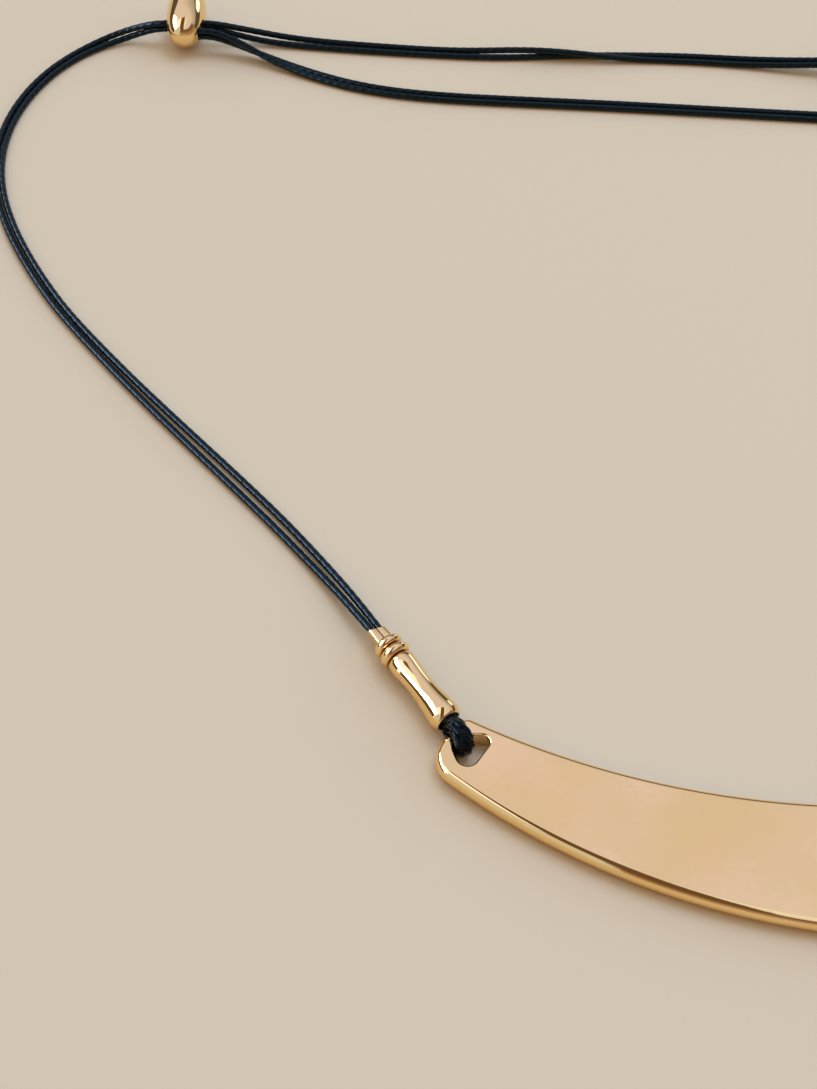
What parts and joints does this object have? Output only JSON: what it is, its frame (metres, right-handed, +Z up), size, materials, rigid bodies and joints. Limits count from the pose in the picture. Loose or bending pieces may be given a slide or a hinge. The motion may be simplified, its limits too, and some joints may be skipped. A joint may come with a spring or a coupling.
{
  "type": "statement necklace",
  "caption": "Statement necklace: a polished gold crescent plate, looped to turned end caps on doubled black waxed cords, which a slider bead closes.",
  "frame": {"origin": "middle of the crescent plate's flat underside, on its symmetry line", "axes": "+X along the crescent to its right end, +Y to the back of the neck, +Z up from the surface that the necklace lies on"},
  "size_m": [0.1946, 0.181, 0.0064],
  "materials": {
    "gold": "polished",
    "waxed_cord": "satin",
    "twisted_cord": "satin"
  },
  "bodies": {
    "root": {"plate": "gold", "end_cap_left": "gold", "end_cap_right": "gold", "loop_left": "twisted_cord", "loop_right": "twisted_cord", "cord_left_a": "waxed_cord", "cord_left_b": "waxed_cord", "cord_right_a": "waxed_cord", "cord_right_b": "waxed_cord", "slider_bead": "gold", "tail_knot": "waxed_cord"}
  },
  "joints": []
}
